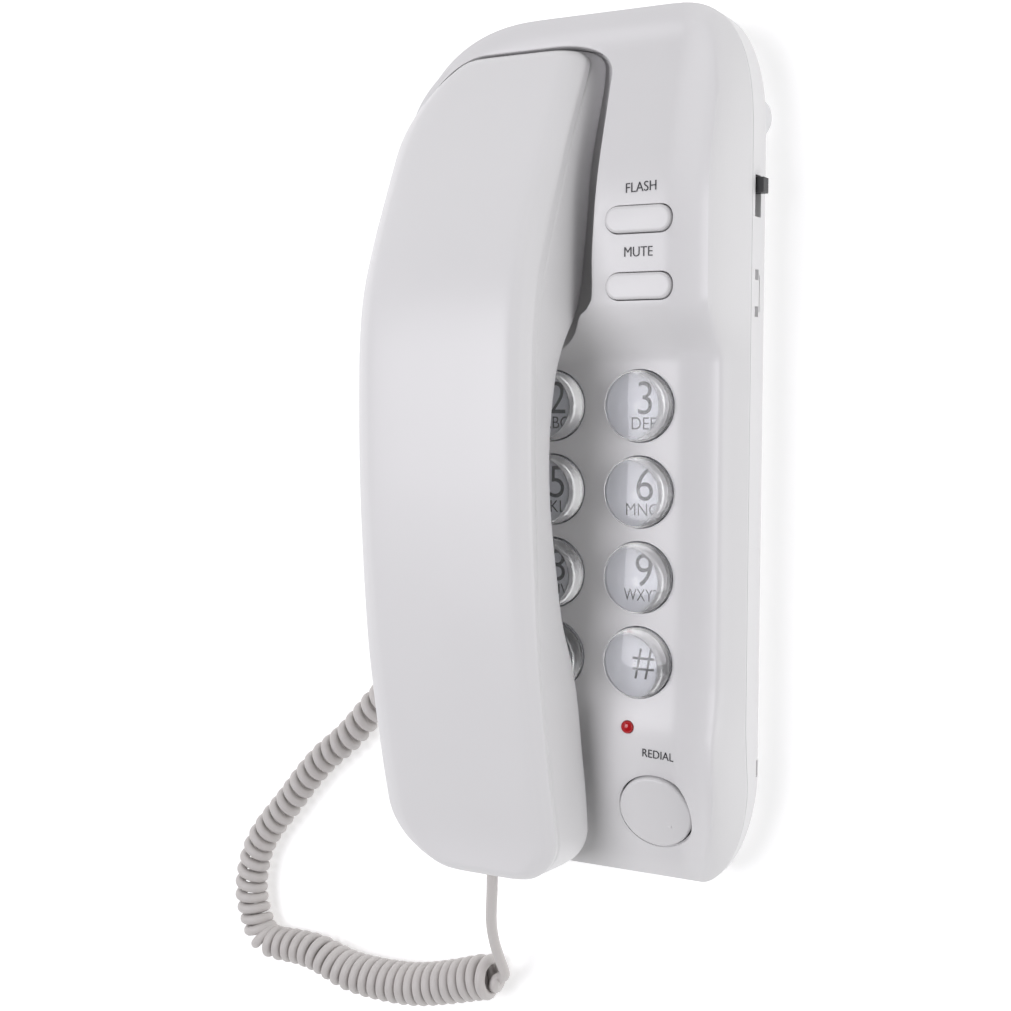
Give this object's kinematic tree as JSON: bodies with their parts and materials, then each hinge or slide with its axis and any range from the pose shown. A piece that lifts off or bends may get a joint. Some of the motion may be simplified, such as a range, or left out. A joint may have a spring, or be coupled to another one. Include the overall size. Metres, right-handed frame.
{
  "type": "corded landline phone",
  "caption": "Slim desk and wall telephone: base with keypad, side switch and three buttons, a cradled handset and a curly cord between them.",
  "frame": {"origin": "midway between the two wall hooks' keyholes, on the surface that the feet stand on", "axes": "+Z out of the keypad face, +Y towards the handset's earpiece end, +X towards the keypad side"},
  "size_m": [0.1587, 0.2546, 0.0514],
  "materials": {
    "shell": "satin",
    "key": "smooth white with a dark printed legend",
    "key_clear": "clear, slightly blue",
    "button": "satin",
    "foot": "soft white",
    "cord": "soft matt vinyl",
    "plug": "clear",
    "black_plastic": "fine grain",
    "led": "tinted clear",
    "silicone": "matt",
    "board": "varnished board",
    "steel": "zinc plated",
    "speaker": "dull"
  },
  "bodies": {
    "base": {"base_top_cover": "shell", "base_back_cover": "shell", "rubber_feet": "foot", "status_led": "led", "keypad_membrane": "silicone", "main_pcb": "board", "ringer_speaker": "speaker", "line_jack": "black_plastic", "base_cord_jack": "black_plastic", "hook_spring": "steel", "hook_switch": "black_plastic", "ringer_switch": "black_plastic", "base_screws": "steel", "pcb_screws": "steel", "curly_cord": "cord", "cord_tail_base": "cord", "cord_tail_handset": "cord", "cord_plug_base": "plug"},
    "handset": {"handset_back_shell": "shell", "handset_front_shell": "shell", "handset_screws": "steel", "handset_cord_jack": "black_plastic", "earpiece_speaker": "speaker", "microphone": "speaker", "handset_weight": "steel", "cord_plug_handset": "plug"},
    "hook": {"hook_plunger": "button"},
    "ringer_knob": {"ringer_switch_knob": "black_plastic"},
    "flash": {"flash_button": "button"},
    "mute": {"mute_button": "button"},
    "redial": {"redial_button": "button"},
    "key_1": {"key_1": "key", "key_cap_1": "key_clear"},
    "key_2": {"key_2": "key", "key_cap_2": "key_clear"},
    "key_3": {"key_3": "key", "key_cap_3": "key_clear"},
    "key_4": {"key_4": "key", "key_cap_4": "key_clear"},
    "key_5": {"key_5": "key", "key_cap_5": "key_clear"},
    "key_6": {"key_6": "key", "key_cap_6": "key_clear"},
    "key_7": {"key_7": "key", "key_cap_7": "key_clear"},
    "key_8": {"key_8": "key", "key_cap_8": "key_clear"},
    "key_9": {"key_9": "key", "key_cap_9": "key_clear"},
    "key_star": {"key_star": "key", "key_cap_star": "key_clear"},
    "key_0": {"key_0": "key", "key_cap_0": "key_clear"},
    "key_hash": {"key_hash": "key", "key_cap_hash": "key_clear"}
  },
  "joints": [
    {"name": "handset_lift", "type": "slide", "parent": "base", "child": "handset", "axis": [0, 0, 1], "range_m": [0, 0.06]},
    {"name": "hook_travel", "type": "slide", "parent": "base", "child": "hook", "axis": [0, 0, 1], "range_m": [0, 0.0025], "deforming": ["hook_spring"]},
    {"name": "ringer_slide", "type": "slide", "parent": "base", "child": "ringer_knob", "axis": [0, 1, 0], "range_m": [-0.005, 0]},
    {"name": "press_1", "type": "slide", "parent": "base", "child": "key_1", "axis": [0, 0, -1], "range_m": [0, 0.0015], "stiffness_N_per_m": 300},
    {"name": "press_2", "type": "slide", "parent": "base", "child": "key_2", "axis": [0, 0, -1], "range_m": [0, 0.0015], "stiffness_N_per_m": 300},
    {"name": "press_3", "type": "slide", "parent": "base", "child": "key_3", "axis": [0, 0, -1], "range_m": [0, 0.0015], "stiffness_N_per_m": 300},
    {"name": "press_4", "type": "slide", "parent": "base", "child": "key_4", "axis": [0, 0, -1], "range_m": [0, 0.0015], "stiffness_N_per_m": 300},
    {"name": "press_5", "type": "slide", "parent": "base", "child": "key_5", "axis": [0, 0, -1], "range_m": [0, 0.0015], "stiffness_N_per_m": 300},
    {"name": "press_6", "type": "slide", "parent": "base", "child": "key_6", "axis": [0, 0, -1], "range_m": [0, 0.0015], "stiffness_N_per_m": 300},
    {"name": "press_7", "type": "slide", "parent": "base", "child": "key_7", "axis": [0, 0, -1], "range_m": [0, 0.0015], "stiffness_N_per_m": 300},
    {"name": "press_8", "type": "slide", "parent": "base", "child": "key_8", "axis": [0, 0, -1], "range_m": [0, 0.0015], "stiffness_N_per_m": 300},
    {"name": "press_9", "type": "slide", "parent": "base", "child": "key_9", "axis": [0, 0, -1], "range_m": [0, 0.0015], "stiffness_N_per_m": 300},
    {"name": "press_star", "type": "slide", "parent": "base", "child": "key_star", "axis": [0, 0, -1], "range_m": [0, 0.0015], "stiffness_N_per_m": 300},
    {"name": "press_0", "type": "slide", "parent": "base", "child": "key_0", "axis": [0, 0, -1], "range_m": [0, 0.0015], "stiffness_N_per_m": 300},
    {"name": "press_hash", "type": "slide", "parent": "base", "child": "key_hash", "axis": [0, 0, -1], "range_m": [0, 0.0015], "stiffness_N_per_m": 300},
    {"name": "press_flash", "type": "slide", "parent": "base", "child": "flash", "axis": [0, 0, -1], "range_m": [0, 0.001], "stiffness_N_per_m": 300},
    {"name": "press_mute", "type": "slide", "parent": "base", "child": "mute", "axis": [0, 0, -1], "range_m": [0, 0.001], "stiffness_N_per_m": 300},
    {"name": "press_redial", "type": "slide", "parent": "base", "child": "redial", "axis": [0, 0.2873, -0.9578], "range_m": [0, 0.0015], "stiffness_N_per_m": 300}
  ],
  "couplings": [
    {"joint": "hook_travel", "follows": "handset_lift", "ratio": 0.041625}
  ]
}
